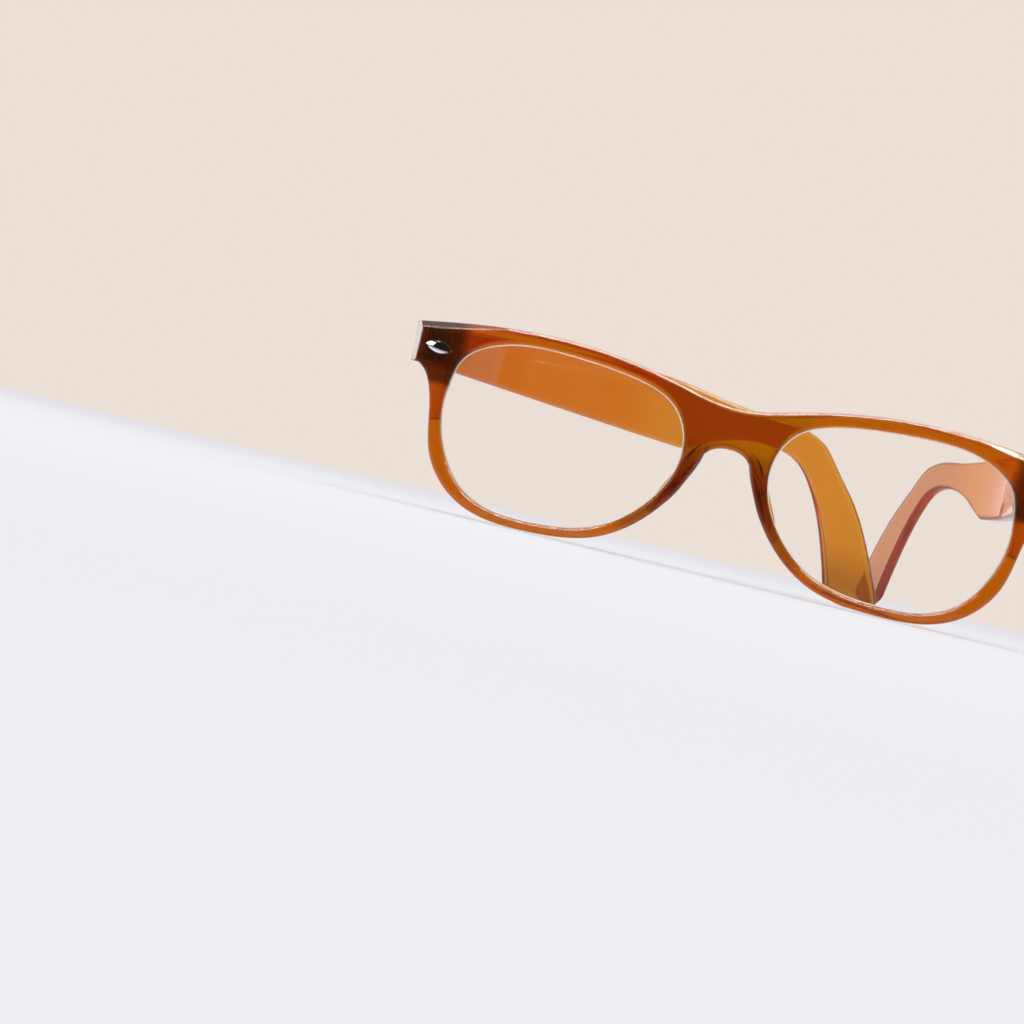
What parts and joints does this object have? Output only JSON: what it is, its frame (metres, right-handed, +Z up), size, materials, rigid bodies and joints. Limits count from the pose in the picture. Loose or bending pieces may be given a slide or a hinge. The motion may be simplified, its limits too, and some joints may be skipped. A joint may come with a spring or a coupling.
{
  "type": "eyeglasses",
  "caption": "Full-rim acetate eyeglasses with curved clear lenses, almond studs on the end pieces and two temples that fold on knuckle hinges.",
  "frame": {"origin": "on the plane the glasses stand on, midway between left and right and midway along the whole length in the stored pose", "axes": "+Z up, +X to the right of someone looking at the front from outside, +Y from the front back towards the temple tips"},
  "size_m": [0.1389, 0.14, 0.0419],
  "materials": {
    "acetate": "polished translucent amber-brown acetate",
    "lens": "clear, polished",
    "polished_metal": "mirror polished",
    "hinge_metal": "satin nickel"
  },
  "bodies": {
    "front": {"front_frame": "acetate", "left_lens": "lens", "right_lens": "lens", "left_nose_pad": "acetate", "right_nose_pad": "acetate", "left_end_stud": "polished_metal", "right_end_stud": "polished_metal", "left_front_hinge_leaf": "hinge_metal", "right_front_hinge_leaf": "hinge_metal", "left_hinge_screw": "hinge_metal", "right_hinge_screw": "hinge_metal"},
    "left_arm": {"left_temple": "acetate", "left_temple_hinge_leaf": "hinge_metal"},
    "right_arm": {"right_temple": "acetate", "right_temple_hinge_leaf": "hinge_metal"}
  },
  "joints": [
    {"name": "left_hinge", "type": "hinge", "parent": "front", "child": "left_arm", "pos_m": [-0.0636, -0.05366, 0.03355], "axis": [0, 0.0354, -0.9994], "range_deg": [-47.4, 35]},
    {"name": "right_hinge", "type": "hinge", "parent": "front", "child": "right_arm", "pos_m": [0.0636, -0.05366, 0.03355], "axis": [0, -0.0354, 0.9994], "range_deg": [-3.8, 24]}
  ]
}
